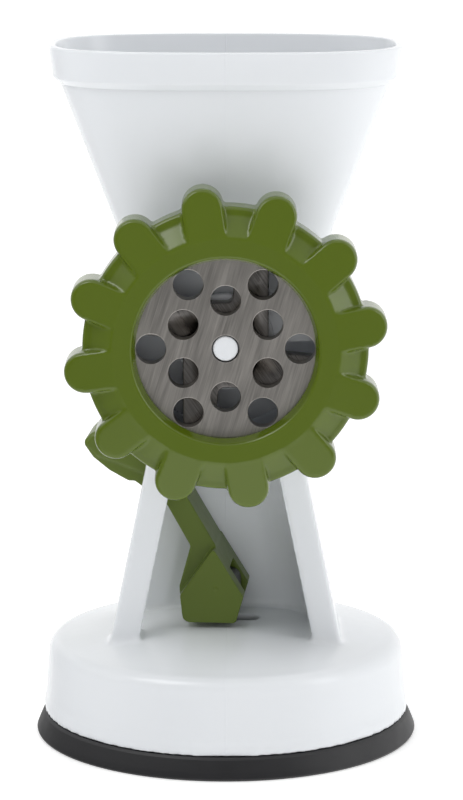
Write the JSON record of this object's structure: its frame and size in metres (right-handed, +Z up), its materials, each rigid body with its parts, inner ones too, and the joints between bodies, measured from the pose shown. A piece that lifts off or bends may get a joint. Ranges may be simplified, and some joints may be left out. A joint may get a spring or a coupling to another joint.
{
  "type": "hand-crank meat mincer",
  "caption": "Plastic hand-crank mincer with a tapered feed hopper, a lobed ring nut over a drilled steel plate, a feed screw and a lever-locked suction foot.",
  "frame": {"origin": "middle of the rubber foot's flat underside, on the table", "axes": "+Z up, -Y towards the cutting plate and ring nut, +X to the right seen from that side"},
  "size_m": [0.122, 0.1755, 0.2205],
  "materials": {
    "white_plastic": "gloss, moulded",
    "green_plastic": "gloss, moulded",
    "plate_steel": "surface ground, fine straight grain",
    "steel": "satin",
    "black_rubber": "satin moulded rubber",
    "nylon": "matt"
  },
  "bodies": {
    "stand": {"suction_stand": "white_plastic", "feed_housing": "white_plastic", "saddle_screw_front": "steel", "saddle_screw_rear": "steel", "plate_key": "steel", "bearing_bush": "nylon", "suction_cup": "black_rubber", "return_spring": "steel"},
    "cup_stem": {"stem": "steel", "stem_nut": "steel", "pressure_plate": "white_plastic", "lever_pin": "steel"},
    "lever": {"suction_lever": "green_plastic"},
    "drive": {"auger": "white_plastic", "knife": "steel", "thrust_washer": "nylon", "crank_arm": "white_plastic", "crank_screw": "green_plastic", "knob_spindle": "steel"},
    "knob": {"crank_knob": "green_plastic"},
    "plate": {"cutting_plate": "plate_steel"},
    "nut": {"ring_nut": "green_plastic"}
  },
  "joints": [
    {"name": "crank_spin", "type": "hinge", "parent": "stand", "child": "drive", "pos_m": [0, 0, 0.1328], "axis": [0, 1, 0], "continuous": true},
    {"name": "knob_spin", "type": "hinge", "parent": "drive", "child": "knob", "pos_m": [0, 0, 0.0478], "axis": [0, 1, 0], "continuous": true},
    {"name": "stem_lift", "type": "slide", "parent": "stand", "child": "cup_stem", "axis": [0, 0, 1], "range_m": [0, 0.0066], "stiffness_N_per_m": 55, "springref_m": -0.003, "deforming": ["suction_cup", "return_spring"]},
    {"name": "lever_swing", "type": "hinge", "parent": "cup_stem", "child": "lever", "pos_m": [0, 0, 0.0465], "axis": [-0.0802, -0.9968, 0], "range_deg": [0, 60]},
    {"name": "plate_slide", "type": "slide", "parent": "stand", "child": "plate", "axis": [0, -1, 0], "range_m": [0, 0.0111]},
    {"name": "nut_turn", "type": "hinge", "parent": "plate", "child": "nut", "pos_m": [0, 0, 0.1328], "axis": [0, -1, 0], "range_deg": [0, 990]}
  ],
  "couplings": [
    {"joint": "stem_lift", "follows": "lever_swing", "m_per_rad": 0.0062},
    {"joint": "plate_slide", "follows": "nut_turn", "m_per_rad": 0.00063662}
  ]
}
